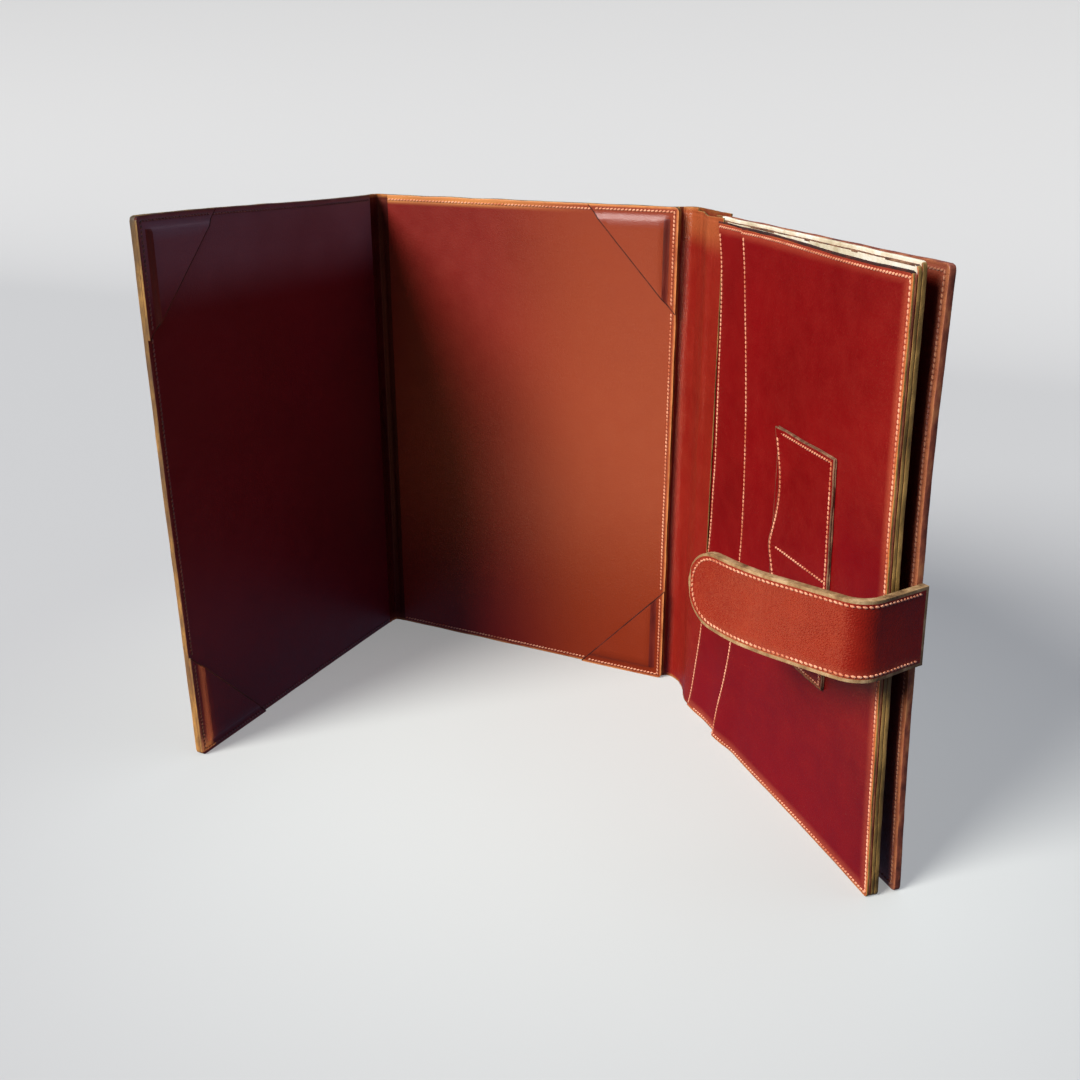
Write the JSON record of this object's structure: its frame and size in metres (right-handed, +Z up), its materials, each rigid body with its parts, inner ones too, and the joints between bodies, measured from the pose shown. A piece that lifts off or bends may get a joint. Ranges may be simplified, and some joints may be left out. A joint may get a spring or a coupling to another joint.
{
  "type": "portfolio case",
  "caption": "Glazed leather portfolio case that stands open like a screen: flap, front cover, soft spine, pocket leaf, back cover and closing strap.",
  "frame": {"origin": "centre of the whole case's box, on the surface that its bottom edges stand on", "axes": "+Z up along the hinge lines; +X along the front cover from the flap's fold to the spine; the open, pocket side of the case faces -Y"},
  "size_m": [0.4376, 0.233, 0.33],
  "materials": {
    "cover_leather": "glazed oxblood leather, outside",
    "lining_leather": "glazed red-brown leather, inside",
    "corner_leather": "wet-moulded glazed leather",
    "pocket_leather": "glazed crimson leather",
    "backing_leather": "satin red-brown leather",
    "strap_leather": "glazed two-ply strap leather, raw edges",
    "stiffener_board": "pressed fibre board",
    "thread": "waxed thread"
  },
  "bodies": {
    "front_cover": {"front_board": "stiffener_board", "front_lining": "lining_leather", "front_outer_leather": "cover_leather", "front_corner_upper": "corner_leather", "front_corner_lower": "corner_leather", "front_edge_seams": "thread", "front_corner_seams": "thread", "fold_lining": "lining_leather", "fold_outer_leather": "cover_leather", "front_hinge_leather": "cover_leather"},
    "flap": {"flap_board": "stiffener_board", "flap_lining": "lining_leather", "flap_outer_leather": "cover_leather", "flap_corner_upper": "corner_leather", "flap_corner_lower": "corner_leather", "flap_edge_seams": "thread", "flap_corner_seams": "thread"},
    "spine": {"spine_lining": "lining_leather", "spine_outer_leather": "cover_leather"},
    "pocket_leaf": {"pocket_leaf_backing": "backing_leather", "pocket_leaf_board": "stiffener_board", "pocket_leaf_facing": "pocket_leather", "deep_pocket": "pocket_leather", "short_pocket": "pocket_leather", "card_pocket_back": "pocket_leather", "card_pocket_front": "pocket_leather", "pocket_leaf_seams": "thread", "deep_pocket_seam": "thread", "short_pocket_seam": "thread", "card_pocket_seams": "thread", "pocket_hinge_leather": "cover_leather", "back_hinge_leather": "cover_leather"},
    "back_cover": {"back_board": "stiffener_board", "back_lining": "lining_leather", "back_outer_leather": "cover_leather", "strap_anchor": "strap_leather", "back_edge_seams": "thread"},
    "strap": {"strap_outer_ply": "strap_leather", "strap_inner_ply": "strap_leather", "strap_seams": "thread"}
  },
  "joints": [
    {"name": "flap_fold", "type": "hinge", "parent": "front_cover", "child": "flap", "pos_m": [-0.21188, 0.10957, 0.165], "axis": [0, 0, 1], "range_deg": [-91, 89], "deforming": ["fold_lining", "fold_outer_leather"]},
    {"name": "front_hinge", "type": "hinge", "parent": "front_cover", "child": "spine", "pos_m": [0.01762, 0.11542, 0.165], "axis": [0, 0, -1], "range_deg": [-40, 50], "deforming": ["front_hinge_leather"]},
    {"name": "pocket_hinge", "type": "hinge", "parent": "spine", "child": "pocket_leaf", "pos_m": [0.04673, 0.09099, 0.165], "axis": [0, 0, -1], "range_deg": [-6.5, 83.5], "deforming": ["pocket_hinge_leather", "back_hinge_leather"]},
    {"name": "back_hinge", "type": "hinge", "parent": "pocket_leaf", "child": "back_cover", "pos_m": [0.04934, 0.09347, 0.165], "axis": [0, 0, 1], "range_deg": [-2.3, 150], "deforming": ["strap_outer_ply", "strap_inner_ply", "strap_seams"]},
    {"name": "strap_swing", "type": "hinge", "parent": "back_cover", "child": "strap", "pos_m": [0.21645, -0.0679, 0.165], "axis": [0, 0, 1], "range_deg": [-8, 120]}
  ]
}
